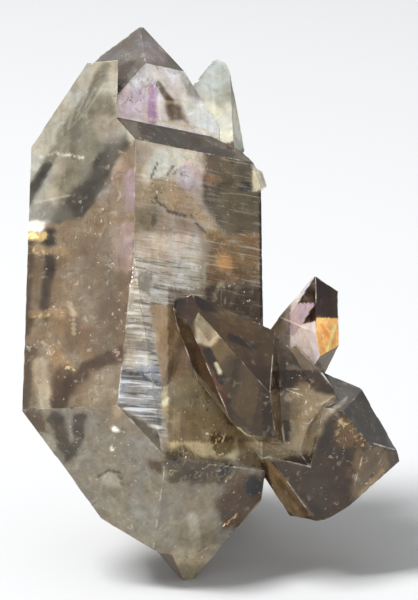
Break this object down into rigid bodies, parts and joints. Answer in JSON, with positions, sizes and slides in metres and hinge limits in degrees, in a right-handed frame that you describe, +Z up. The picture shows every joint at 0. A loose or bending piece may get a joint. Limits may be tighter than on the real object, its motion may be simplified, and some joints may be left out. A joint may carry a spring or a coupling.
{
  "type": "smoky quartz with amethyst",
  "caption": "Cluster of smoky quartz crystals with a faint violet amethyst tint: a broad upright crystal with smaller, darker ones grown against its foot.",
  "frame": {"origin": "below the middle of the cluster's outer box, on the ground it stands on", "axes": "+Z up, -Y towards the viewer at the broad front faces, +X towards the small side crystals"},
  "size_m": [0.0566, 0.0536, 0.0811],
  "materials": {
    "smoky_quartz": "polished"
  },
  "bodies": {
    "root": {"quartz_cluster": "smoky_quartz"}
  },
  "joints": []
}
